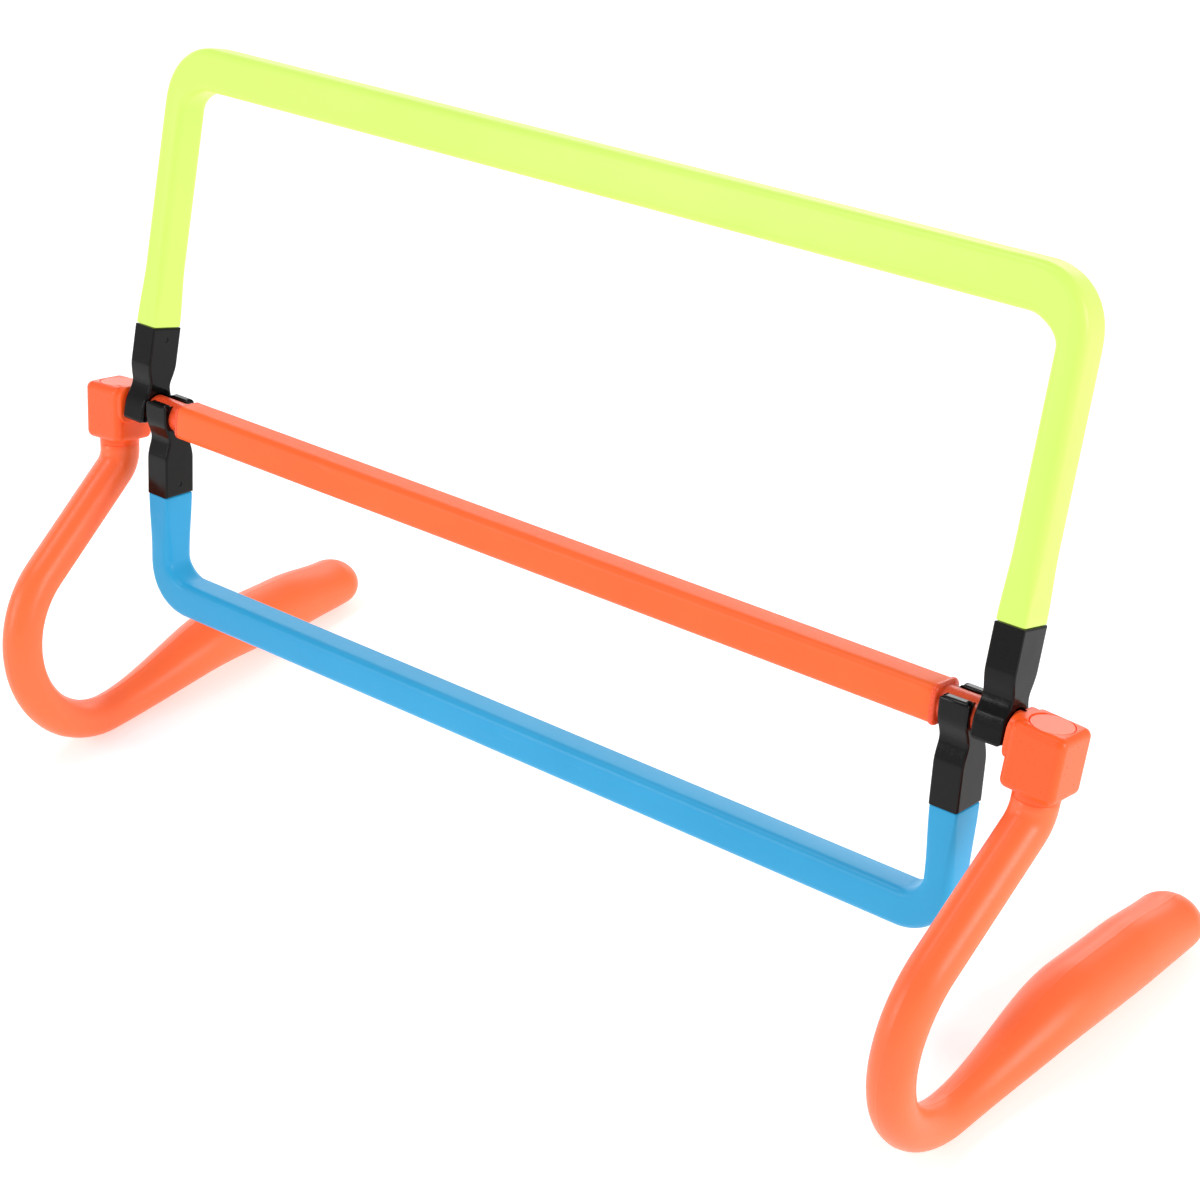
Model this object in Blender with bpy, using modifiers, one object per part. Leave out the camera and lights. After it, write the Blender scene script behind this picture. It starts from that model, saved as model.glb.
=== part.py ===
"""Small agility hurdle: a crossbar on two bent legs, with a tall and a low swinging frame.

Metres, +Z up.  X runs along the bar, +Y to the rear.  The origin is on the floor, in the
middle of the footprint.
"""
import math

import bmesh
import bpy
from mathutils import Matrix, Vector

MM = 0.001

# Bar line: every swinging piece turns about this axis
AXIS_Y = -21.0 * MM
AXIS_Z = 143.0 * MM

# Crossbar
BAR_SIDE = 14.2 * MM
BAR_CORNER = 3.2 * MM
BAR_LENGTH = 373.4 * MM
BAR_SHIFT = 1.3 * MM
BAR_BORE = 5.4 * MM

# End plug: body in the bar, square flange, round neck, pin in the head block
PLUG_R = 5.1 * MM
PLUG_START = 172.0 * MM
FLANGE_SIDE = 15.0 * MM
FLANGE_CORNER = 3.0 * MM
FLANGE_THICK = 1.8 * MM
FLANGE_GAP = 0.2 * MM
NECK_R = 6.2 * MM
NECK_END = 219.3 * MM
PIN_R = 3.2 * MM
PIN_END = 229.6 * MM
NECK_BORE = 6.3 * MM
NECK_BORE_END = 219.7 * MM
PIN_BORE = 3.3 * MM
PIN_BORE_END = 230.0 * MM

# Head block, measured from the bar line along its own upright, which leans back and,
# with its leg, out at the top
LEG_X = 230.1 * MM
HEAD_LEAN = math.radians(9.0)
HEAD_ROLL = math.radians(4.05)
HEAD_SIZE = (21.2 * MM, 19.6 * MM, 24.2 * MM)
HEAD_TOP = 5.9 * MM
HEAD_CORNER = 2.6 * MM
PAD_SIDE = (18.0 * MM, 15.6 * MM)
PAD_CORNER = 4.6 * MM
PAD_LOW = -9.4 * MM
PAD_FACE = 218.3 * MM
COLLAR_R = 8.6 * MM
COLLAR_LENGTH = 2.0 * MM
LEG_SOCKET_R = 6.7 * MM
LEG_SOCKET_TOP = -7.8 * MM
CAP_R = 7.5 * MM
CAP_RECESS = 1.5 * MM
CAP_THICK = 1.2 * MM
CAP_GAP = 0.15 * MM

# Leg: a tube bent in one plane; the left one stands turned a little outwards in its socket
LEG_TUBE_R = 8.2 * MM
LEG_PLUG_R = 6.3 * MM
LEG_SHOULDER = -20.6 * MM
KNEE_R = 12.0 * MM
SHANK_ANGLE = math.radians(56.96)
BEND_CENTRE_Y = -32.9 * MM
BEND_R = 40.5 * MM
FOOT_TIP = 123.3 * MM
FOOT_DOME = 12.0 * MM
FOOT_HALF_WIDTH = 14.1 * MM
FOOT_HALF_HEIGHT = 13.0 * MM
SOLE_SINK = 0.3 * MM
LEFT_LEG_TURN = math.radians(3.5)

# Frames
TALL_X = 211.2 * MM
TALL_REACH = 143.0 * MM
TALL_LEAN = math.radians(15.7)
LOW_X = 197.6 * MM
LOW_REACH = 78.2 * MM
LOW_LEAN = math.radians(6.2)
TUBE_DEPTH = 14.6 * MM
TUBE_SIDE_WIDTH = 11.5 * MM
TALL_BAR_WIDTH = 17.2 * MM
LOW_BAR_WIDTH = 14.8 * MM
TUBE_WALL = 1.4 * MM
TUBE_CORNER = 3.2 * MM
TUBE_END_CORNER = 1.0 * MM
TUBE_START = 34.8 * MM
TALL_BEND_R = 18.0 * MM
LOW_BEND_R = 15.0 * MM

# Clips
CLIP_TOP = 34.5 * MM
CLIP_WIDTH = 12.0 * MM
CLIP_BODY_DEPTH = 15.0 * MM
CLIP_WAIST_DEPTH = 10.8 * MM
CLIP_JAW_DEPTH = 16.3 * MM
CLIP_WAIST = 9.8 * MM
CLIP_END = -6.1 * MM
CLIP_SLOT = 4.4 * MM
TONGUE = (8.0 * MM, 11.2 * MM, 10.0 * MM)

ORANGE = (0.91, 0.16, 0.055)
YELLOW = (0.68, 0.86, 0.13)
BLUE = (0.07, 0.36, 0.69)
BLACK = (0.018, 0.017, 0.017)

for old in list(bpy.data.objects):
    bpy.data.objects.remove(old)

hurdle = bpy.data.collections.new("agility_hurdle")
cutters = bpy.data.collections.new("cutters")
bpy.context.scene.collection.children.link(hurdle)
bpy.context.scene.collection.children.link(cutters)


def material(name, colour, roughness):
    mat = bpy.data.materials.new(name)
    mat.use_nodes = True
    shader = mat.node_tree.nodes["Principled BSDF"]
    shader.inputs["Base Color"].default_value = (*colour, 1.0)
    shader.inputs["Roughness"].default_value = roughness
    shader.inputs["Metallic"].default_value = 0.0
    return mat


def smoothstep(value, low, high):
    t = min(max((value - low) / (high - low), 0.0), 1.0)
    return t * t * (3.0 - 2.0 * t)


def link(obj, colour=None, roughness=0.4):
    """Put a finished piece in the hurdle, or a tool shape in the cutters."""
    if colour is None:
        cutters.objects.link(obj)
        obj.hide_render = True
        obj.display_type = "WIRE"
        return obj
    hurdle.objects.link(obj)
    obj.data.materials.append(material(obj.name, colour, roughness))
    obj.data.shade_smooth()
    obj.data.set_sharp_from_angle(angle=math.radians(38))
    return obj


def mesh_object(name, bm):
    bmesh.ops.recalc_face_normals(bm, faces=bm.faces)
    mesh = bpy.data.meshes.new(name)
    bm.to_mesh(mesh)
    bm.free()
    return bpy.data.objects.new(name, mesh)


def empty(name, location, rotation=(0.0, 0.0, 0.0)):
    obj = bpy.data.objects.new(name, None)
    obj.location = location
    obj.rotation_euler = rotation
    hurdle.objects.link(obj)
    return obj


def attach(child, parent, location=(0.0, 0.0, 0.0), rotation=(0.0, 0.0, 0.0)):
    child.parent = parent
    child.location = location
    child.rotation_euler = rotation
    return child


def boolean(obj, tool, operation):
    mod = obj.modifiers.new(tool.name, "BOOLEAN")
    mod.operation = operation
    mod.solver = "EXACT"
    mod.object = tool


def box(name, size, corner=0.0, edges="all", segments=4):
    """A box centred on its origin, its corners rounded all round or along X only."""
    bm = bmesh.new()
    bmesh.ops.create_cube(bm, size=1.0, matrix=Matrix.Diagonal((*size, 1.0)))
    if corner:
        if edges == "all":
            chosen = list(bm.edges)
        else:
            chosen = [e for e in bm.edges if abs((e.verts[0].co - e.verts[1].co).x) > 1e-6]
        bmesh.ops.bevel(bm, geom=chosen, offset=corner, segments=segments, affect="EDGES", profile=0.5)
    return mesh_object(name, bm)


def cylinder(name, radius, length, sides=40):
    """A cylinder along X, centred on its origin."""
    bm = bmesh.new()
    turn = Matrix.Rotation(math.radians(90), 4, "Y")
    bmesh.ops.create_cone(bm, cap_ends=True, segments=sides, radius1=radius, radius2=radius,
                          depth=length, matrix=turn)
    return mesh_object(name, bm)


def rounded_rectangle(half_u, half_v, corner, per_corner=4):
    """Outline points (u, v), anticlockwise from the +u side."""
    points = []
    for quarter in range(4):
        su = 1.0 if quarter in (0, 3) else -1.0
        sv = 1.0 if quarter in (0, 1) else -1.0
        for step in range(per_corner):
            angle = math.radians(90.0 * (quarter + step / (per_corner - 1)))
            u = su * (half_u - corner) + corner * math.cos(angle)
            v = sv * (half_v - corner) + corner * math.sin(angle)
            points.append((u, v))
    return points


def loft(name, outer, inner=None):
    """Skin a list of rings; with inner rings the result is an open-ended tube."""
    bm = bmesh.new()

    def skin(rings):
        loops = [[bm.verts.new(p) for p in ring] for ring in rings]
        for a, b in zip(loops, loops[1:]):
            for i in range(len(a)):
                j = (i + 1) % len(a)
                bm.faces.new((a[i], a[j], b[j], b[i]))
        return loops

    out = skin(outer)
    if inner is None:
        bm.faces.new(out[0])
        bm.faces.new(out[-1])
    else:
        inn = skin(inner)
        for k in (0, -1):
            for i in range(len(out[k])):
                j = (i + 1) % len(out[k])
                bm.faces.new((out[k][i], out[k][j], inn[k][j], inn[k][i]))
    return mesh_object(name, bm)


# ---- crossbar and its end plugs ------------------------------------------------------

bar_root = empty("bar_line", (0.0, AXIS_Y, AXIS_Z), (-HEAD_LEAN, 0.0, 0.0))

bar_bore = link(cylinder("bar_bore", BAR_BORE, 1.1 * BAR_LENGTH, 32))
attach(bar_bore, bar_root)
crossbar = box("crossbar", (BAR_LENGTH, BAR_SIDE, BAR_SIDE), BAR_CORNER, "long")
link(crossbar, ORANGE, 0.42)
attach(crossbar, bar_root, (BAR_SHIFT, 0.0, 0.0))
boolean(crossbar, bar_bore, "DIFFERENCE")

neck_bore = attach(link(cylinder("neck_bore", NECK_BORE, 2.0 * NECK_BORE_END)), bar_root)
pin_bore = attach(link(cylinder("pin_bore", PIN_BORE, 2.0 * PIN_BORE_END, 32)), bar_root)


def end_plug(name, side):
    """Turned about X: body, neck and pin, with the square flange joined on."""
    flange_from = 0.5 * BAR_LENGTH + side * BAR_SHIFT + FLANGE_GAP
    flange_to = flange_from + FLANGE_THICK
    profile = [(0.0, PIN_END), (PIN_R, PIN_END), (PIN_R, NECK_END), (NECK_R, NECK_END),
               (NECK_R, flange_to - 0.6 * MM), (PLUG_R, flange_to - 0.6 * MM),
               (PLUG_R, PLUG_START), (0.0, PLUG_START)]
    mesh = bpy.data.meshes.new(name)
    edges = [(i, i + 1) for i in range(len(profile) - 1)]
    mesh.from_pydata([(r, 0.0, z) for r, z in profile], edges, [])
    obj = bpy.data.objects.new(name, mesh)
    screw = obj.modifiers.new("turn", "SCREW")
    screw.axis = "Z"
    screw.steps = 40
    screw.render_steps = 40
    screw.use_merge_vertices = True
    screw.merge_threshold = 0.00001
    flange = link(box(name + "_flange", (FLANGE_THICK, FLANGE_SIDE, FLANGE_SIDE),
                      FLANGE_CORNER, "long"))
    attach(flange, bar_root, (side * 0.5 * (flange_from + flange_to), 0.0, 0.0))
    link(obj, ORANGE, 0.42)
    attach(obj, bar_root, (0.0, 0.0, 0.0), (0.0, side * math.radians(90), 0.0))
    boolean(obj, flange, "UNION")


end_plug("end_plug_left", -1.0)
end_plug("end_plug_right", 1.0)


# ---- legs ------------------------------------------------------------------------------

def leg_path():
    """Stations down the leg: (y, z) of the centre, (y, z) of the direction, half width,
    half height.  y and z are measured from the bar line."""
    lean = Vector((math.sin(HEAD_LEAN), math.cos(HEAD_LEAN)))
    down = -lean
    shank = Vector((-math.sin(SHANK_ANGLE), -math.cos(SHANK_ANGLE)))
    floor = -AXIS_Z / math.cos(HEAD_ROLL)
    r = LEG_TUBE_R
    stations = []

    def add(centre, direction, width, height):
        stations.append((Vector(centre), Vector(direction).normalized(), width, height))

    add(lean * (LEG_SOCKET_TOP - 0.4 * MM), down, LEG_PLUG_R, LEG_PLUG_R)
    add(lean * LEG_SHOULDER, down, LEG_PLUG_R, LEG_PLUG_R)
    add(lean * (LEG_SHOULDER - 0.2 * MM), down, r, r)

    hub = Vector((BEND_CENTRE_Y, floor + r - SOLE_SINK + BEND_R))
    start = math.radians(90) + SHANK_ANGLE
    low_end = hub + Vector((-math.sin(start), -math.cos(start))) * BEND_R
    knee = lean * (low_end.cross(shank) / lean.cross(shank))
    turn = down.angle(shank)
    reach = KNEE_R * math.tan(turn / 2.0)
    inside = Vector((down.y, -down.x))
    if inside.dot(shank) < 0.0:
        inside = -inside
    knee_hub = knee - down * reach + inside * KNEE_R
    for step in range(5):
        a = turn * step / 4.0
        add(knee_hub - inside * KNEE_R * math.cos(a) + down * KNEE_R * math.sin(a),
            down * math.cos(a) + inside * math.sin(a), r, r)

    steps = 14
    for step in range(steps):
        a = start - (start - math.radians(3.5)) * step / (steps - 1)
        add(hub + Vector((-math.sin(a), -math.cos(a))) * BEND_R,
            (math.cos(a), -math.sin(a)), r, r)

    last = FOOT_TIP - FOOT_DOME
    runs = (2.4, 8.0, 16.0, 24.0, 32.0, 40.0, 48.0, 58.0, 72.0, 90.0, 108.0, 124.0, 138.0)
    spots = [BEND_CENTRE_Y + run * MM for run in runs]
    spots.append(last)
    for y in spots:
        grow = smoothstep(y, -24.0 * MM, 31.0 * MM)
        width = r + (FOOT_HALF_WIDTH - r) * grow
        width -= 0.5 * MM * smoothstep(y, 75.0 * MM, 118.0 * MM)
        height = r + (FOOT_HALF_HEIGHT - r) * grow
        height -= 2.3 * MM * smoothstep(y, 78.0 * MM, 116.0 * MM)
        arch = 3.2 * MM * grow * (1.0 - smoothstep(y, 20.0 * MM, 88.0 * MM))
        add((y, floor + height - SOLE_SINK + arch), (1.0, 0.0), width, height)
    tip_centre = stations[-1][0].y
    for angle in (22.0, 42.0, 58.0, 71.0, 82.0):
        c = math.cos(math.radians(angle))
        y = last + FOOT_DOME * math.sin(math.radians(angle))
        add((y, tip_centre), (1.0, 0.0), width * c, height * c)
    return stations


def leg(name, side, outward):
    """The bent tube, rolled with its block and turned outward about its collar."""
    sides = 20
    roll = Matrix.Rotation(side * HEAD_ROLL, 4, "Y")
    collar = roll @ (LEG_SHOULDER * Vector((0.0, math.sin(HEAD_LEAN), math.cos(HEAD_LEAN))))
    swing = (Matrix.Translation(collar) @ Matrix.Rotation(-side * outward, 4, "Z")
             @ Matrix.Translation(-collar))
    rings = []
    for centre, direction, width, height in leg_path():
        across = Vector((-direction.y, direction.x))
        ring = []
        for i in range(sides):
            angle = 2.0 * math.pi * (i + 0.5) / sides
            spot = centre + across * height * math.sin(angle)
            point = swing @ roll @ Vector((side * width * math.cos(angle), spot.x, spot.y))
            point.z = max(point.z, -AXIS_Z)
            ring.append(point)
        rings.append(ring)
    obj = loft(name, rings)
    link(obj, ORANGE, 0.42)
    return obj


def head_block(name, side):
    """Rounded box with a raised pad towards the bar and a collar round the leg."""
    centre = HEAD_TOP - HEAD_SIZE[2] / 2.0
    bottom = HEAD_TOP - HEAD_SIZE[2]
    obj = box(name, HEAD_SIZE, HEAD_CORNER, "all", 3)
    obj.data.transform(Matrix.Translation((0.0, 0.0, centre)))
    link(obj, ORANGE, 0.42)

    inner_face = LEG_X - HEAD_SIZE[0] / 2.0
    pad_root = inner_face + 3.0 * MM
    pad = box(name + "_pad", (pad_root - PAD_FACE, *PAD_SIDE), PAD_CORNER, "long")
    pad_place = (side * (0.5 * (PAD_FACE + pad_root) - LEG_X), 0.0, PAD_LOW + 0.5 * PAD_SIDE[1])
    collar = cylinder(name + "_collar", COLLAR_R, COLLAR_LENGTH + 4.0 * MM, 36)
    socket = cylinder(name + "_socket", LEG_SOCKET_R, 30.0 * MM, 32)
    recess = cylinder(name + "_recess", CAP_R + CAP_GAP, 10.0 * MM, 36)
    upright = (0.0, math.radians(90), 0.0)
    tools = (
        (pad, pad_place, (0.0, 0.0, 0.0), "UNION"),
        (collar, (0.0, 0.0, bottom - 0.5 * COLLAR_LENGTH + 2.0 * MM), upright, "UNION"),
        (socket, (0.0, 0.0, LEG_SOCKET_TOP - 15.0 * MM), upright, "DIFFERENCE"),
        (recess, (0.0, 0.0, HEAD_TOP - CAP_RECESS + 5.0 * MM), upright, "DIFFERENCE"),
    )
    for tool, location, rotation, operation in tools:
        link(tool)
        attach(tool, obj, location, rotation)
        boolean(obj, tool, operation)
    boolean(obj, neck_bore, "DIFFERENCE")
    boolean(obj, pin_bore, "DIFFERENCE")
    return obj


def top_cap(name):
    obj = cylinder(name, CAP_R, CAP_THICK, 36)
    turn = Matrix.Rotation(math.radians(90), 4, "Y")
    obj.data.transform(Matrix.Translation((0.0, 0.0, HEAD_TOP - CAP_THICK / 2.0)) @ turn)
    link(obj, ORANGE, 0.42)
    return obj


for label, side, outward in (("left", -1.0, LEFT_LEG_TURN), ("right", 1.0, 0.0)):
    hip = empty("hip_" + label, (side * LEG_X, AXIS_Y, AXIS_Z))
    lean = (-HEAD_LEAN, side * HEAD_ROLL, 0.0)
    attach(leg("leg_" + label, side, outward), hip)
    attach(head_block("head_" + label, side), hip, (0.0, 0.0, 0.0), lean)
    attach(top_cap("top_cap_" + label), hip, (0.0, 0.0, 0.0), lean)


# ---- frames ----------------------------------------------------------------------------

def frame_tube(name, half_span, reach, r, bar_width, colour):
    """A U of hollow tube with bends of radius r, flat-sided at its two ends and fuller
    along its top."""
    path = [(-half_span, TUBE_START + t * MM, 0.0) for t in (0.0, 6.0, 16.0, 28.0)]
    if reach - r > TUBE_START + 45.0 * MM:
        path += [(-half_span, TUBE_START + 60.0 * MM, 0.0)]
    path = [p for p in path if p[1] < reach - r - 4.0 * MM]
    steps = 6
    for step in range(steps + 1):
        a = math.radians(90.0) * step / steps
        path.append((-half_span + r - r * math.cos(a), reach - r + r * math.sin(a), a))
    path.append((-half_span / 3.0, reach, math.radians(90)))
    path += [(-x, h, math.pi - a) for x, h, a in reversed(path)]
    outer, inner = [], []
    for x, h, a in path:
        level = math.sin(a) if h > reach - r - 1e-9 else 0.0
        width = TUBE_SIDE_WIDTH + (bar_width - TUBE_SIDE_WIDTH) * smoothstep(level, 0.0, 1.0)
        soft = smoothstep(h, TUBE_START, TUBE_START + 26.0 * MM)
        corner = TUBE_END_CORNER + (TUBE_CORNER - TUBE_END_CORNER) * soft
        for rings, wall in ((outer, 0.0), (inner, TUBE_WALL)):
            outline = rounded_rectangle(width / 2.0 - wall, TUBE_DEPTH / 2.0 - wall,
                                        max(corner - wall, 0.5 * MM))
            rings.append([(x - u * math.cos(a), v, h + u * math.sin(a)) for u, v in outline])
    obj = loft(name, outer, inner)
    link(obj, colour, 0.35)
    return obj


# ---- clips -----------------------------------------------------------------------------

def clip(name, slot):
    """Body box, narrow waist and a fork that snaps over the neck, pointing down."""
    spots = [CLIP_TOP, 18.0 * MM, 15.6 * MM, 13.6 * MM, 11.8 * MM, CLIP_WAIST, 8.0 * MM,
             6.2 * MM, 4.0 * MM, 1.0 * MM, -4.5 * MM, -5.5 * MM, CLIP_END]
    rings = []
    for h in spots:
        depth = CLIP_WAIST_DEPTH
        depth += (CLIP_BODY_DEPTH - CLIP_WAIST_DEPTH) * smoothstep(h, CLIP_WAIST, 18.0 * MM)
        depth += (CLIP_JAW_DEPTH - CLIP_WAIST_DEPTH) * smoothstep(-h, -CLIP_WAIST, -MM)
        pinch = 1.1 * MM * smoothstep(-h, 4.4 * MM, -CLIP_END)
        outline = rounded_rectangle(CLIP_WIDTH / 2.0 - pinch / 2.0, depth / 2.0 - pinch,
                                    0.8 * MM, 3)
        rings.append([(u, v, h) for u, v in outline])
    obj = loft(name, rings)
    link(obj, BLACK, 0.22)
    tongue = link(box(name + "_tongue", (TONGUE[0], TONGUE[1], TONGUE[2] + 2.0 * MM)))
    attach(tongue, obj, (0.0, 0.0, CLIP_TOP + 0.5 * TONGUE[2] - MM))
    boolean(obj, tongue, "UNION")
    boolean(obj, neck_bore, "DIFFERENCE")
    boolean(obj, slot, "DIFFERENCE")
    return obj


def swinging_frame(label, tube, sizes, lean, colour):
    half_span, reach, bend, bar_width = sizes
    pivot = empty(label + "_pivot", (0.0, AXIS_Y, AXIS_Z), (lean, 0.0, 0.0))
    attach(frame_tube(tube, half_span, reach, bend, bar_width, colour), pivot)
    slot = link(box(label + "_jaw_slot", (2.2 * half_span, 2.0 * CLIP_SLOT, 9.0 * MM)))
    attach(slot, pivot, (0.0, 0.0, -4.5 * MM))
    for side_name, side in (("left", -1.0), ("right", 1.0)):
        piece = clip(label + "_clip_" + side_name, slot)
        attach(piece, pivot, (side * half_span, 0.0, 0.0))


TALL_SIZES = (TALL_X, TALL_REACH, TALL_BEND_R, TALL_BAR_WIDTH)
LOW_SIZES = (LOW_X, LOW_REACH, LOW_BEND_R, LOW_BAR_WIDTH)
swinging_frame("upper", "tall_frame", TALL_SIZES, -TALL_LEAN, YELLOW)
swinging_frame("lower", "low_frame", LOW_SIZES, math.pi - LOW_LEAN, BLUE)
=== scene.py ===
"""Looks of the small agility hurdle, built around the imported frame.

Metres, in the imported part's frame: X along the bar, +Y to the rear, +Z up.
"""
import math

import bmesh
import bpy
from mathutils import Matrix, Vector


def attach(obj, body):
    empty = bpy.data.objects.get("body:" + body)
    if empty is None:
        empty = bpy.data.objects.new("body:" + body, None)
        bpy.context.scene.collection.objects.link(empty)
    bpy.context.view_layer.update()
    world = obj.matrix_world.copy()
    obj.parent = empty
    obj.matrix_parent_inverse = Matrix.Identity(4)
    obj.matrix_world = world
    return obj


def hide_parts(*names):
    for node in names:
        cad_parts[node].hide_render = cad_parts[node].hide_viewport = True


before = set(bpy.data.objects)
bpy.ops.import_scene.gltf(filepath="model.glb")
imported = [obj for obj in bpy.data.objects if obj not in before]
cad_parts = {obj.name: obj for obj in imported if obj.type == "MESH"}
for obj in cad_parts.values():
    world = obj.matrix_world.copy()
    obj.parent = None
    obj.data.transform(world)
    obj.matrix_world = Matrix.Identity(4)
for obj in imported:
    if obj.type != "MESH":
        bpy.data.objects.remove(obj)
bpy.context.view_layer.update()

MM = 0.001

# The bar line, which every swinging piece turns about
AXIS_Y = -21.0 * MM
AXIS_Z = 143.0 * MM

# Leans about the bar line, as rotations about +X; each head block also leans out at its top
BAR_TURN = math.radians(-9.0)
HEAD_ROLL = math.radians(4.05)
TALL_TURN = math.radians(-15.7)
LOW_TURN = math.radians(180.0 - 6.2)


# ---- shapes ------------------------------------------------------------------------------

def smoothstep(value, low, high):
    t = min(max((value - low) / (high - low), 0.0), 1.0)
    return t * t * (3.0 - 2.0 * t)


def between(value, stations):
    """The size at a position, from (position, size) pairs in rising order of position."""
    if value <= stations[0][0]:
        return stations[0][1]
    for (a, size_a), (b, size_b) in zip(stations, stations[1:]):
        if value <= b:
            return size_a + (size_b - size_a) * (value - a) / (b - a)
    return stations[-1][1]


def finish_mesh(name, bm, smooth=38.0):
    bmesh.ops.recalc_face_normals(bm, faces=bm.faces)
    mesh = bpy.data.meshes.new(name)
    bm.to_mesh(mesh)
    bm.free()
    mesh.shade_smooth()
    mesh.set_sharp_from_angle(angle=math.radians(smooth))
    obj = bpy.data.objects.new(name, mesh)
    bpy.context.scene.collection.objects.link(obj)
    return obj


def loft(name, rings, smooth=38.0):
    """A closed body skinned over rings that all have the same number of points."""
    bm = bmesh.new()
    loops = [[bm.verts.new(p) for p in ring] for ring in rings]
    count = len(rings[0])
    for a, b in zip(loops, loops[1:]):
        for i in range(count):
            j = (i + 1) % count
            bm.faces.new((a[i], a[j], b[j], b[i]))
    bm.faces.new(loops[0])
    bm.faces.new(loops[-1])
    return finish_mesh(name, bm, smooth)


def rounded_rectangle(half_u, half_v, corner, per_corner=9, per_side=3, crown=0.0):
    """Outline (u, v) from the +u side round; the sides bulge outward by crown."""
    points = []
    for quarter in range(4):
        su = 1.0 if quarter in (0, 3) else -1.0
        sv = 1.0 if quarter in (0, 1) else -1.0
        for step in range(per_corner):
            angle = math.radians(90.0 * (quarter + step / (per_corner - 1)))
            points.append((su * (half_u - corner) + corner * math.cos(angle),
                           sv * (half_v - corner) + corner * math.sin(angle)))
        a = points[-1]
        for step in range(1, per_side + 1):
            t = step / (per_side + 1)
            bulge = crown * 4.0 * t * (1.0 - t)
            if quarter in (0, 2):
                span = -2.0 * su * (half_u - corner)
                points.append((a[0] + span * t, a[1] + sv * bulge))
            else:
                span = -2.0 * sv * (half_v - corner)
                points.append((a[0] + su * bulge, a[1] + span * t))
    return points


def turned(obj, turn, x=0.0, roll=0.0):
    """Carry a mesh made about the bar line to its place, leaning by turn."""
    obj.data.transform(Matrix.Translation((x, AXIS_Y, AXIS_Z)) @ Matrix.Rotation(roll, 4, "Y")
                       @ Matrix.Rotation(turn, 4, "X"))
    return obj


def cut_or_join(obj, tool, operation):
    mod = obj.modifiers.new("shape", "BOOLEAN")
    mod.operation = operation
    mod.solver = "EXACT"
    mod.object = tool


def even_shading(obj, smallest=4.0):
    """Shade faces larger than so many square millimetres flat, and the rest smooth."""
    obj.data.shade_smooth()
    obj.data.set_sharp_from_angle(angle=math.radians(32.0))
    for face in obj.data.polygons:
        if face.area > smallest * MM * MM:
            face.use_smooth = False


def settle(obj, tools=()):
    """Turn the modifiers into plain mesh and drop the tool shapes."""
    bpy.context.view_layer.update()
    graph = bpy.context.evaluated_depsgraph_get()
    mesh = bpy.data.meshes.new_from_object(obj.evaluated_get(graph))
    obj.modifiers.clear()
    old = obj.data
    obj.data = mesh
    bpy.data.meshes.remove(old)
    for tool in tools:
        bpy.data.objects.remove(tool)
    return obj


def prism(name, outline, half_width, edge, steps=5, nip=None):
    """An outline (n, h) drawn out along X, with its long edges rounded.  nip(h) narrows it."""
    count = len(outline)
    spots = [Vector(p) for p in outline]
    inward = []
    for i in range(count):
        before = (spots[i] - spots[i - 1]).normalized()
        after = (spots[(i + 1) % count] - spots[i]).normalized()
        normal = Vector((-before.y, before.x)) + Vector((-after.y, after.x))
        length = max(normal.length_squared, 0.5)
        inward.append(normal * 2.0 / length)
    area = sum(a.x * b.y - b.x * a.y for a, b in zip(spots, spots[1:] + spots[:1]))
    if area < 0.0:
        inward = [-v for v in inward]
    rings = []
    for side in (-1.0, 1.0):
        part = []
        for k in range(steps + 1):
            angle = math.radians(90.0 * k / steps)
            x = side * (half_width - edge + edge * math.sin(angle))
            inset = edge * (1.0 - math.cos(angle))
            part.append([(x - side * (nip(p.y) if nip else 0.0), p.x + v.x * inset, p.y + v.y * inset)
                         for p, v in zip(spots, inward)])
        rings += reversed(part) if side < 0.0 else part
    return loft(name, rings)


# ---- crossbar and end plugs -----------------------------------------------------------------

BAR_HALF = 186.7 * MM
BAR_SHIFT = 1.3 * MM
BAR_HALF_SIDE = 7.1 * MM
BAR_CORNER = 3.2 * MM
NECK_R = 6.2 * MM
NECK_END = 219.2 * MM
PIN_R = 3.1 * MM
PIN_END = 229.5 * MM


def crossbar():
    rings = []
    edge = 0.2 * MM
    stops = [edge * (1.0 - math.cos(math.radians(a))) for a in (0.0, 30.0, 60.0, 90.0)]
    xs = [(-BAR_HALF + s, edge * (1.0 - math.sin(math.radians(a))))
          for s, a in zip(stops, (0.0, 30.0, 60.0, 90.0))]
    plain = 60
    for k in range(1, plain):
        xs.append((-BAR_HALF + edge + 2.0 * (BAR_HALF - edge) * k / plain, 0.0))
    xs += [(-x, inset) for x, inset in reversed(xs[:4])]
    for x, inset in xs:
        half = BAR_HALF_SIDE - inset
        outline = rounded_rectangle(half, half, BAR_CORNER - 0.5 * inset, crown=0.12 * MM)
        rings.append([(x + BAR_SHIFT, u, v) for u, v in outline])
    return turned(loft("crossbar_tube", rings), BAR_TURN)


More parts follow.
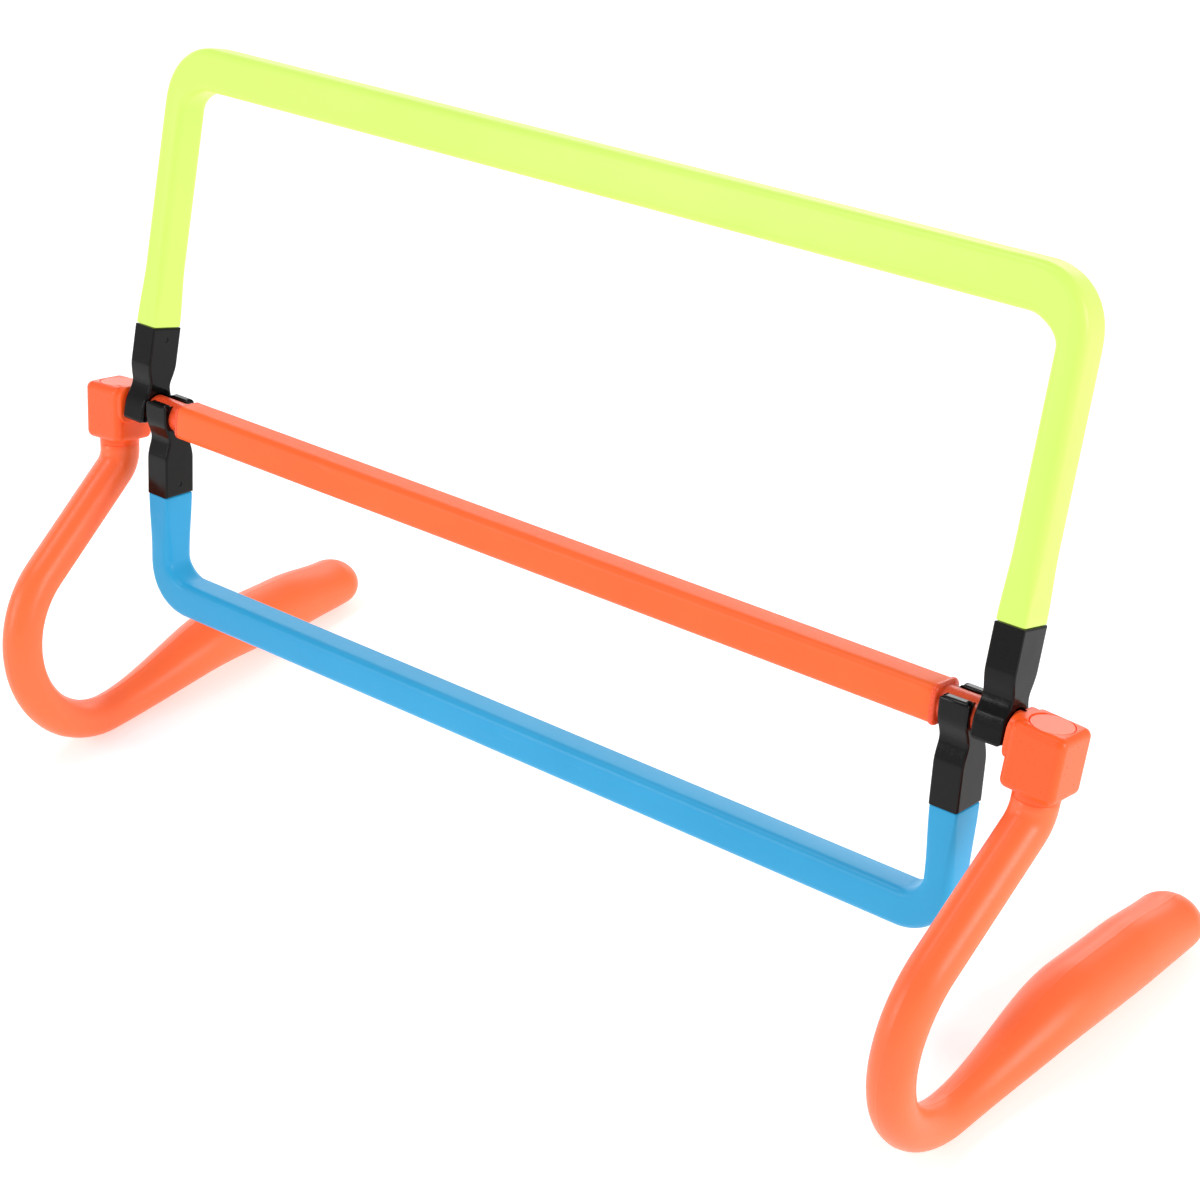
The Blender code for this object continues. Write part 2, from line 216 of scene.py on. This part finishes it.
def end_plug(name, side):
    """Spigot in the bar, square flange with soft shoulders, and the neck the clips turn on."""
    start = BAR_HALF + side * BAR_SHIFT
    near, face = start + 0.06 * MM, start + 2.0 * MM
    half = (7.5 if side > 0.0 else 7.15) * MM
    rim, shoulder, fillet = 0.15 * MM, 1.2 * MM, 0.35 * MM
    square = rounded_rectangle(half, half, BAR_CORNER, per_side=5)
    angles = [math.atan2(v, u) for u, v in square]

    def circle(x, r):
        return [(x, r * math.cos(a), r * math.sin(a)) for a in angles]

    def plate(x, inset):
        return [(x, u * (1.0 - inset / half), v * (1.0 - inset / half)) for u, v in square]

    rings = [circle(start - 6.0 * MM, 4.9 * MM), circle(near, 5.0 * MM), plate(near, rim)]
    for k in range(1, 4):
        a = math.radians(30.0 * k)
        rings.append(plate(near + rim * (1.0 - math.cos(a)), rim * (1.0 - math.sin(a))))
    for k in range(7):
        a = math.radians(15.0 * k)
        rings.append(plate(face - shoulder * (1.0 - math.sin(a)), shoulder * (1.0 - math.cos(a))))
    for k in range(5):
        a = math.radians(22.5 * k)
        rings.append(circle(face + fillet * (1.0 - math.cos(a)), NECK_R + fillet * (1.0 - math.sin(a))))
    rings += [circle(NECK_END, NECK_R), circle(NECK_END, PIN_R), circle(PIN_END, PIN_R)]
    rings = [[(side * x, y, z) for x, y, z in ring] for ring in rings]
    return turned(loft(name, rings), BAR_TURN)


# ---- head blocks and caps -------------------------------------------------------------------

LEG_X = 230.1 * MM
HEAD_TOP = 5.9 * MM
HEAD_SIZE = (21.2 * MM, 19.6 * MM, 24.2 * MM)
HEAD_MIDDLE = HEAD_TOP - 12.1 * MM
HEAD_CORNER = 2.9 * MM
PAD_HALF = 3.4 * MM
PAD_X = (11.7 - 3.4) * MM
COLLAR_R = 8.3 * MM
CAP_R = 7.6 * MM
RECESS_R = 7.95 * MM
RECESS_DEPTH = 1.4 * MM
LEG_BORE_R = 6.7 * MM
NECK_HOLE_R = 6.3 * MM


def drum(name, radius, low, high, edge, sides=96):
    """A disc or short cylinder standing along Z with rounded rims."""
    rings = []
    for end, flip in ((low, 1.0), (high, -1.0)):
        part = []
        for k in range(5):
            angle = math.radians(90.0 * k / 4)
            r = radius - edge + edge * math.sin(angle)
            z = end + flip * edge * (1.0 - math.cos(angle))
            part.append([(r * math.cos(2.0 * math.pi * i / sides),
                          r * math.sin(2.0 * math.pi * i / sides), z) for i in range(sides)])
        rings += part if flip > 0.0 else list(reversed(part))
    return loft(name, rings)


def soft_box(name, size, corner, segments=6):
    bm = bmesh.new()
    bmesh.ops.create_cube(bm, size=1.0, matrix=Matrix.Diagonal((*size, 1.0)))
    bmesh.ops.bevel(bm, geom=list(bm.edges), offset=corner, segments=segments,
                    affect="EDGES", profile=0.5)
    return finish_mesh(name, bm)


def head_block(name, side):
    """Rounded box with a raised pad towards the bar, a collar below and a recess for the cap."""
    obj = soft_box(name, HEAD_SIZE, HEAD_CORNER)
    obj.data.transform(Matrix.Translation((0.0, 0.0, HEAD_MIDDLE)))
    outline = rounded_rectangle(9.0 * MM, 7.8 * MM, 4.6 * MM)
    pad = prism(name + "_pad", outline, PAD_HALF, 0.5 * MM)
    pad.data.transform(Matrix.Translation((-side * PAD_X, 0.0, -1.6 * MM)))
    collar = drum(name + "_collar", COLLAR_R, -20.45 * MM, -14.0 * MM, 0.15 * MM)
    # The shapes that cut holes stand well proud of the faces they cut through
    recess = drum(name + "_recess", RECESS_R, HEAD_TOP - RECESS_DEPTH, HEAD_TOP + 4.0 * MM, 0.1 * MM)
    bore = drum(name + "_bore", LEG_BORE_R, -40.0 * MM, -7.8 * MM, 0.1 * MM)
    neck = drum(name + "_neck", NECK_HOLE_R, -30.0 * MM, 30.0 * MM, 0.1 * MM)
    neck.data.transform(Matrix.Translation((-side * 40.3 * MM, 0.0, 0.0))
                        @ Matrix.Rotation(math.radians(90.0), 4, "Y"))
    tools = [pad, collar, recess, bore, neck]
    for tool, operation in zip(tools, ("UNION", "UNION", "DIFFERENCE", "DIFFERENCE", "DIFFERENCE")):
        cut_or_join(obj, tool, operation)
    settle(obj, tools)
    even_shading(obj)
    return turned(obj, BAR_TURN, side * LEG_X, side * HEAD_ROLL)


def top_cap(name, side):
    obj = drum(name, CAP_R, HEAD_TOP - 1.35 * MM, HEAD_TOP - 0.02 * MM, 0.25 * MM)
    even_shading(obj)
    return turned(obj, BAR_TURN, side * LEG_X, side * HEAD_ROLL)


# ---- legs -----------------------------------------------------------------------------------

LEG_R = 8.2 * MM
LEG_SHOULDER = -20.6 * MM
KNEE_R = 12.0 * MM
SHANK_ANGLE = math.radians(56.96)
HOOK_Y = -32.9 * MM
HOOK_R = 40.5 * MM
FOOT_TIP = 123.3 * MM
FOOT_DOME = 12.0 * MM
FOOT_HALF_WIDTH = 14.1 * MM
FOOT_HALF_HEIGHT = 13.0 * MM
SWELL = (-34.0 * MM, 46.0 * MM)
SPIGOT_R = 6.3 * MM
SOLE_SINK = 0.3 * MM
LEFT_LEG_TURN = math.radians(3.5)


def leg_path():
    """Stations down the leg: centre (y, z), direction, half width, half height."""
    lean = Vector((-math.sin(BAR_TURN), math.cos(BAR_TURN)))
    down = -lean
    shank = Vector((-math.sin(SHANK_ANGLE), -math.cos(SHANK_ANGLE)))
    stations = []

    def add(centre, direction, width, height):
        stations.append((Vector(centre), Vector(direction).normalized(), width, height))

    add(lean * -8.2 * MM, down, SPIGOT_R, SPIGOT_R)
    add(lean * (LEG_SHOULDER + 0.1 * MM), down, SPIGOT_R, SPIGOT_R)
    add(lean * LEG_SHOULDER, down, 8.0 * MM, 8.0 * MM)
    add(lean * (LEG_SHOULDER - 0.2 * MM), down, LEG_R, LEG_R)

    floor = -AXIS_Z / math.cos(HEAD_ROLL)
    hub = Vector((HOOK_Y, floor + LEG_R - SOLE_SINK + HOOK_R))
    start = math.radians(90.0) + SHANK_ANGLE
    low_end = hub + Vector((-math.sin(start), -math.cos(start))) * HOOK_R
    knee = lean * (low_end.cross(shank) / lean.cross(shank))
    turn = down.angle(shank)
    reach = KNEE_R * math.tan(turn / 2.0)
    inside = Vector((down.y, -down.x))
    if inside.dot(shank) < 0.0:
        inside = -inside
    knee_hub = knee - down * reach + inside * KNEE_R
    for step in range(17):
        a = turn * step / 16.0
        add(knee_hub - inside * KNEE_R * math.cos(a) + down * KNEE_R * math.sin(a),
            down * math.cos(a) + inside * math.sin(a), LEG_R, LEG_R)
    knee_end = stations[-1][0]
    for step in range(1, 16):
        add(knee_end.lerp(low_end, step / 16.0), shank, LEG_R, LEG_R)
    steps = 70
    for step in range(steps):
        a = start - (start - math.radians(3.5)) * step / (steps - 1)
        add(hub + Vector((-math.sin(a), -math.cos(a))) * HOOK_R,
            (math.cos(a), -math.sin(a)), LEG_R, LEG_R)

    last = FOOT_TIP - FOOT_DOME
    begin = HOOK_Y + 3.4 * MM
    spans = 90
    for step in range(spans + 1):
        y = begin + (last - begin) * step / spans
        grow = smoothstep(y, *SWELL)
        width = LEG_R + (FOOT_HALF_WIDTH - LEG_R) * grow
        width -= 0.5 * MM * smoothstep(y, 75.0 * MM, 118.0 * MM)
        height = LEG_R + (FOOT_HALF_HEIGHT - LEG_R) * grow
        height -= 2.3 * MM * smoothstep(y, 78.0 * MM, 116.0 * MM)
        arch = 3.2 * MM * grow * (1.0 - smoothstep(y, 20.0 * MM, 88.0 * MM))
        add((y, floor + height - SOLE_SINK + arch), (1.0, 0.0), width, height)
    tip = stations[-1][0].y
    for step in range(1, 15):
        angle = math.radians(90.0 * step / 14.6)
        add((last + FOOT_DOME * math.sin(angle), tip), (1.0, 0.0),
            width * math.cos(angle), height * math.cos(angle))
    return stations


def leg(name, side, outward):
    """The bent tube, with the fine moulding seam that runs round it in its own plane."""
    around = [math.radians(a) for a in range(0, 360, 5)]
    seam = [math.radians(base + off) for base in (90.0, 270.0) for off in (-2.2, -1.1, 1.1, 2.2)]
    around = sorted(around + seam)
    roll = Matrix.Rotation(side * HEAD_ROLL, 4, "Y")
    collar = roll @ (LEG_SHOULDER * Vector((0.0, -math.sin(BAR_TURN), math.cos(BAR_TURN))))
    place = (Matrix.Translation((side * LEG_X, AXIS_Y, AXIS_Z)) @ Matrix.Translation(collar)
             @ Matrix.Rotation(-side * outward, 4, "Z") @ Matrix.Translation(-collar) @ roll)
    rings = []
    for centre, direction, width, height in leg_path():
        across = Vector((-direction.y, direction.x))
        ring = []
        for angle in around:
            ridge = 0.09 * MM * max(0.0, 1.0 - abs(math.cos(angle)) / math.sin(math.radians(2.2)))
            spot = centre + across * (height + ridge) * math.sin(angle)
            point = place @ Vector((side * width * math.cos(angle), spot.x, spot.y))
            point.z = max(point.z, 0.0)
            ring.append(point)
        rings.append(ring)
    return loft(name, rings, 50.0)


# ---- frames ---------------------------------------------------------------------------------

TUBE_START = 34.8 * MM
TUBE_WIDTH = 11.5 * MM
TUBE_HALF_DEPTH = 7.3 * MM
TUBE_EDGE = 0.35 * MM


def frame_tube(name, half_span, reach, bend, bar_width, turn):
    """A U of moulded tube, boxy where it meets its clips and rounder along its top."""
    path = []
    straight = reach - bend - TUBE_START
    count = int(straight / (2.5 * MM))
    for edge in (0.0, 0.12, 0.35):
        inset = TUBE_EDGE - math.sqrt(edge * (0.7 - edge)) * MM
        path.append((-half_span, TUBE_START + edge * MM, 0.0, inset))
    for step in range(1, count):
        path.append((-half_span, TUBE_START + straight * step / count, 0.0, 0.0))
    turns = 28
    for step in range(turns + 1):
        a = math.radians(90.0) * step / turns
        path.append((-half_span + bend - bend * math.cos(a), reach - bend + bend * math.sin(a), a, 0.0))
    span = half_span - bend
    for step in range(1, 30):
        path.append((-span + span * step / 30.0, reach, math.radians(90.0), 0.0))
    path += [(-x, h, math.pi - a, inset) for x, h, a, inset in reversed(path)]
    rings = []
    for x, h, a, inset in path:
        level = math.sin(a) if h > reach - bend - 1e-9 else 0.0
        width = TUBE_WIDTH + (bar_width - TUBE_WIDTH) * smoothstep(level, 0.0, 1.0)
        soft = smoothstep(h, TUBE_START, TUBE_START + 26.0 * MM)
        corner = 1.0 * MM + 2.3 * MM * soft
        outline = rounded_rectangle(width / 2.0 - inset, TUBE_HALF_DEPTH - inset, corner,
                                    crown=0.1 * MM * soft)
        rings.append([(x - u * math.cos(a), v, h + u * math.sin(a)) for u, v in outline])
    return turned(loft(name, rings), turn)


# ---- clips ----------------------------------------------------------------------------------

CLIP_END = -6.1 * MM
CLIP_HALF = 6.0 * MM
CLIP_NIP = 1.4 * MM
BORE_R = 6.3 * MM
SLOT = 4.4 * MM

# Half width of a clip at heights from the bar line, both in millimetres
CLIP_SIDES = [(-4.8, 8.15), (1.0, 8.15), (3.0, 7.8), (4.5, 7.25), (6.0, 6.6), (8.0, 5.85),
              (9.4, 5.5), (10.6, 5.5), (12.0, 5.85), (13.5, 6.4), (15.5, 7.0), (18.0, 7.5), (34.5, 7.5)]


def arc(centre, radius, first, last, steps):
    return [(centre[0] + radius * math.cos(math.radians(first + (last - first) * k / steps)),
             centre[1] + radius * math.sin(math.radians(first + (last - first) * k / steps)))
            for k in range(steps + 1)]


def clip_outline():
    """Body, waist and fork of a clip as an outline (n, h), from the top right round."""
    right = []
    top, bottom = CLIP_SIDES[-1][0], CLIP_SIDES[0][0]
    for step in range(70):
        h = top - (top - bottom) * step / 69.0
        raw = sum(between(h + d, CLIP_SIDES) for d in (-0.9, -0.45, 0.0, 0.45, 0.9)) / 5.0
        right.append((raw * MM, h * MM))
    right += arc((6.85 * MM, -4.8 * MM), 1.3 * MM, 0.0, -90.0, 6)[1:]
    right += arc((SLOT + 0.7 * MM, -5.4 * MM), 0.7 * MM, -90.0, -180.0, 4)
    lip = math.acos(SLOT / BORE_R)
    right += arc((0.0, 0.0), BORE_R, -math.degrees(lip), 90.0, 24)[:-1]
    left = [(-n, h) for n, h in reversed(right)]
    return right + [(0.0, BORE_R)] + left


def clip_nip(h):
    """How far each side face draws in towards the rounded ends of the fork."""
    depth = max(0.0, CLIP_NIP - (h - CLIP_END))
    return CLIP_NIP - math.sqrt(max(CLIP_NIP ** 2 - depth ** 2, 0.0))


def clip(name, x, turn, inner):
    obj = prism(name, clip_outline(), CLIP_HALF, 0.85 * MM, nip=clip_nip)
    mark = drum(name + "_mark", 1.0 * MM, -0.4 * MM, 1.0 * MM, 0.3 * MM, 24)
    mark.data.transform(Matrix.Translation((inner * CLIP_HALF, 0.0, 29.5 * MM))
                        @ Matrix.Rotation(inner * math.radians(90.0), 4, "Y"))
    cut_or_join(obj, mark, "DIFFERENCE")
    settle(obj, [mark])
    even_shading(obj)
    return turned(obj, turn, x)


# ---- materials ------------------------------------------------------------------------------

def plastic(name, colour, deep, roughness, grain=900.0, bump=0.25, wave=0.3, painted_glow=0.0,
            painted_glow_colour=None, rubbed=0.3, specular=0.45):
    """Moulded plastic: slow drift of tone, fine grain in gloss and surface, faint rub marks."""
    mat = bpy.data.materials.new(name)
    mat.use_nodes = True
    tree = mat.node_tree
    shader = tree.nodes["Principled BSDF"]
    place = tree.nodes.new("ShaderNodeTexCoord")

    def node(kind, **settings):
        made = tree.nodes.new(kind)
        for key, value in settings.items():
            if key.startswith("in_"):
                made.inputs[key[3:].replace("_", " ")].default_value = value
            else:
                setattr(made, key, value)
        return made

    def noise(scale, detail, rough):
        made = node("ShaderNodeTexNoise", in_Scale=scale, in_Detail=detail, in_Roughness=rough)
        tree.links.new(place.outputs["Object"], made.inputs["Vector"])
        return made.outputs["Fac"]

    def spread(source, low, high, to_low, to_high):
        made = node("ShaderNodeMapRange")
        for key, value in (("From Min", low), ("From Max", high), ("To Min", to_low), ("To Max", to_high)):
            made.inputs[key].default_value = value
        tree.links.new(source, made.inputs["Value"])
        return made.outputs["Result"]

    drift = noise(16.0, 3.0, 0.55)
    tone = node("ShaderNodeMix", data_type="RGBA")
    tone.inputs["A"].default_value = (*colour, 1.0)
    tone.inputs["B"].default_value = (*deep, 1.0)
    tree.links.new(spread(drift, 0.35, 0.7, 0.0, 1.0), tone.inputs["Factor"])

    stretch = node("ShaderNodeMapping")
    stretch.inputs["Scale"].default_value = (60.0, 420.0, 420.0)
    stretch.inputs["Rotation"].default_value = (0.3, 0.15, 0.5)
    tree.links.new(place.outputs["Object"], stretch.inputs["Vector"])
    marks = node("ShaderNodeTexNoise", in_Scale=1.0, in_Detail=5.0, in_Roughness=0.75)
    tree.links.new(stretch.outputs["Vector"], marks.inputs["Vector"])
    rub = spread(marks.outputs["Fac"], 0.62, 0.8, 0.0, rubbed)

    pale = node("ShaderNodeMix", data_type="RGBA")
    pale.inputs["B"].default_value = (*[c + (1.0 - c) * 0.12 for c in colour], 1.0)
    tree.links.new(tone.outputs["Result"], pale.inputs["A"])
    tree.links.new(rub, pale.inputs["Factor"])
    tree.links.new(pale.outputs["Result"], shader.inputs["Base Color"])

    fine = noise(grain, 3.0, 0.6)
    gloss = spread(fine, 0.3, 0.7, roughness - 0.05, roughness + 0.06)
    rough = node("ShaderNodeMath", operation="MULTIPLY_ADD")
    rough.inputs[1].default_value = 0.35
    tree.links.new(rub, rough.inputs[0])
    tree.links.new(gloss, rough.inputs[2])
    tree.links.new(rough.outputs["Value"], shader.inputs["Roughness"])

    slow = node("ShaderNodeBump", in_Strength=wave, in_Distance=0.4 * MM)
    tree.links.new(noise(55.0, 2.0, 0.5), slow.inputs["Height"])
    pores = node("ShaderNodeBump", in_Strength=bump, in_Distance=0.04 * MM)
    tree.links.new(noise(grain * 1.7, 4.0, 0.65), pores.inputs["Height"])
    tree.links.new(slow.outputs["Normal"], pores.inputs["Normal"])
    tree.links.new(pores.outputs["Normal"], shader.inputs["Normal"])

    shader.inputs["Metallic"].default_value = 0.0
    shader.inputs["Specular IOR Level"].default_value = specular
    # Painted glow: this emission gives the plastic light of its own, standing in for light falling on it,
    # though the part is no lamp
    if painted_glow:
        shader.inputs["Emission Color"].default_value = (*(painted_glow_colour or colour), 1.0)
        shader.inputs["Emission Strength"].default_value = painted_glow
    return mat


BAR_ORANGE = (0.97, 0.132, 0.020)
BLOCK_ORANGE = (0.97, 0.108, 0.015)
LEG_ORANGE = (0.97, 0.150, 0.040)

# All plastics but the black carry a painted glow; the yellow and blue tubes take much of their brightness
# from it, painted light rather than lamp light
materials = {
    "bar_orange": plastic("bar_orange", BAR_ORANGE, (0.96, 0.117, 0.016), 0.42, painted_glow=0.14, specular=0.38),
    # Deeper red than the bar: this tone is painted shade, standing in for the shadow in the gap between
    # the bar end and the clip
    "plug_orange": plastic("plug_orange", (0.94, 0.092, 0.024), (0.91, 0.078, 0.020), 0.28,
                           wave=0.15, painted_glow=0.05),
    "block_orange": plastic("block_orange", BLOCK_ORANGE, (0.96, 0.094, 0.012), 0.31,
                            bump=0.1, wave=0.12, painted_glow=0.15, rubbed=0.1, specular=0.38),
    "leg_orange": plastic("leg_orange", LEG_ORANGE, (0.96, 0.130, 0.034), 0.35, painted_glow=0.15),
    # Paler than the head block: this tone is a painted sheen, standing in for the reflection that lights
    # the top of the head
    "cap_orange": plastic("cap_orange", (0.97, 0.170, 0.075), (0.96, 0.150, 0.065), 0.34,
                          bump=0.1, wave=0.1, painted_glow=0.14, rubbed=0.1, specular=0.45),
    "tube_yellow": plastic("tube_yellow", (0.30, 0.44, 0.075), (0.27, 0.41, 0.06), 0.36,
                           painted_glow_colour=(0.430, 0.56, 0.100), painted_glow=1.0, specular=0.35),
    "tube_blue": plastic("tube_blue", (0.022, 0.25, 0.475), (0.016, 0.22, 0.43), 0.34,
                         painted_glow_colour=(0.005, 0.145, 0.265), painted_glow=1.0, specular=0.32),
    "clip_black": plastic("clip_black", (0.006, 0.0055, 0.0055), (0.004, 0.004, 0.004), 0.11,
                          wave=0.5, rubbed=0.12, specular=0.2),
}


def fit_out(obj, body, slot, *nodes):
    """Give a finished piece its material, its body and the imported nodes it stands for."""
    obj.data.materials.clear()
    obj.data.materials.append(materials[slot])
    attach(obj, body)
    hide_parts(*nodes)


fit_out(crossbar(), "bar", "bar_orange", "crossbar")
for label, side, outward in (("left", -1.0, LEFT_LEG_TURN), ("right", 1.0, 0.0)):
    fit_out(end_plug("plug_moulding_" + label, side), "bar", "plug_orange", "end_plug_" + label)
    leg_body = label + "_leg"
    fit_out(leg("leg_tube_" + label, side, outward), leg_body, "leg_orange", "leg_" + label)
    fit_out(head_block("head_moulding_" + label, side), leg_body, "block_orange", "head_" + label)
    fit_out(top_cap("cap_disc_" + label, side), leg_body, "cap_orange", "top_cap_" + label)
    fit_out(clip("tall_clip_" + label, side * 211.2 * MM, TALL_TURN, -side),
            "tall", "clip_black", "upper_clip_" + label)
    fit_out(clip("low_clip_" + label, side * 197.6 * MM, LOW_TURN, -side),
            "low", "clip_black", "lower_clip_" + label)
fit_out(frame_tube("tall_tube", 211.2 * MM, 143.0 * MM, 18.0 * MM, 17.2 * MM, TALL_TURN),
        "tall", "tube_yellow", "tall_frame")
fit_out(frame_tube("low_tube", 197.6 * MM, 78.2 * MM, 15.0 * MM, 14.8 * MM, LOW_TURN),
        "low", "tube_blue", "low_frame")


# ---- floor, light and camera ----------------------------------------------------------------

bm = bmesh.new()
bmesh.ops.create_grid(bm, x_segments=2, y_segments=2, size=6.0)
floor = finish_mesh("studio_floor", bm)
# A little under the feet, so that the two don't share a plane
floor.location.z = -0.0002
paper = bpy.data.materials.new("studio_paper")
paper.use_nodes = True
paper_shader = paper.node_tree.nodes["Principled BSDF"]
paper_shader.inputs["Base Color"].default_value = (0.93, 0.93, 0.93, 1.0)
paper_shader.inputs["Roughness"].default_value = 0.9
paper_shader.inputs["Specular IOR Level"].default_value = 0.1
paper_shader.inputs["Emission Color"].default_value = (1.0, 1.0, 1.0, 1.0)
paper_shader.inputs["Emission Strength"].default_value = 0.4
floor.data.materials.append(paper)

# The surroundings are brighter near the horizon than overhead
world = bpy.data.worlds.new("studio")
world.use_nodes = True
sky = world.node_tree
heading = sky.nodes.new("ShaderNodeTexCoord")
split = sky.nodes.new("ShaderNodeSeparateXYZ")
fade = sky.nodes.new("ShaderNodeMapRange")
for key, value in (("From Min", 0.2), ("From Max", 0.6), ("To Min", 0.80), ("To Max", 0.38)):
    fade.inputs[key].default_value = value
sky.links.new(heading.outputs["Generated"], split.inputs["Vector"])
sky.links.new(split.outputs["Z"], fade.inputs["Value"])
sky.nodes["Background"].inputs["Color"].default_value = (1.0, 1.0, 1.0, 1.0)
sky.links.new(fade.outputs["Result"], sky.nodes["Background"].inputs["Strength"])
bpy.context.scene.world = world


def softbox(name, place, aim, size, watts):
    light = bpy.data.lights.new(name, "AREA")
    light.shape = "RECTANGLE"
    light.size, light.size_y = size
    light.energy = watts
    obj = bpy.data.objects.new(name, light)
    obj.location = place
    obj.rotation_euler = (Vector(aim) - Vector(place)).to_track_quat("-Z", "Y").to_euler()
    bpy.context.scene.collection.objects.link(obj)


softbox("key", (1.9, 0.3, 1.0), (0.0, 0.0, 0.1), (1.0, 1.0), 22.0)
softbox("fill", (-0.6, -0.5, 1.9), (0.0, 0.0, 0.1), (0.6, 0.6), 6.5)
softbox("back", (-1.2, 1.5, 1.0), (0.0, 0.0, 0.1), (1.0, 0.8), 3.5)
softbox("rear", (-0.5, 1.8, 0.75), (0.2, 0.0, 0.15), (0.9, 0.5), 3.5)
softbox("left", (-2.1, 0.5, 0.55), (0.0, 0.0, 0.1), (2.0, 0.9), 7.0)
softbox("front", (-1.0, -1.5, 0.75), (0.0, 0.0, 0.1), (0.5, 0.9), 7.0)

# The camera's right and up directions, lens and place were fitted to the photograph
right = Vector((0.75875, 0.65119, -0.01604))
up = Vector((-0.28864, 0.35819, 0.88791))
camera = bpy.data.cameras.new("camera")
camera.lens = 82.9
camera.sensor_width = 36.0
camera.shift_x = 0.00275
camera.shift_y = 0.003
camera.clip_start = 0.02
camera_object = bpy.data.objects.new("camera", camera)
turn = Matrix((right, up, right.cross(up))).transposed().to_4x4()
camera_object.matrix_world = Matrix.Translation((0.63062, -0.70254, 0.59828)) @ turn
bpy.context.scene.collection.objects.link(camera_object)
bpy.context.scene.camera = camera_object
bpy.context.scene.view_settings.view_transform = "Standard"
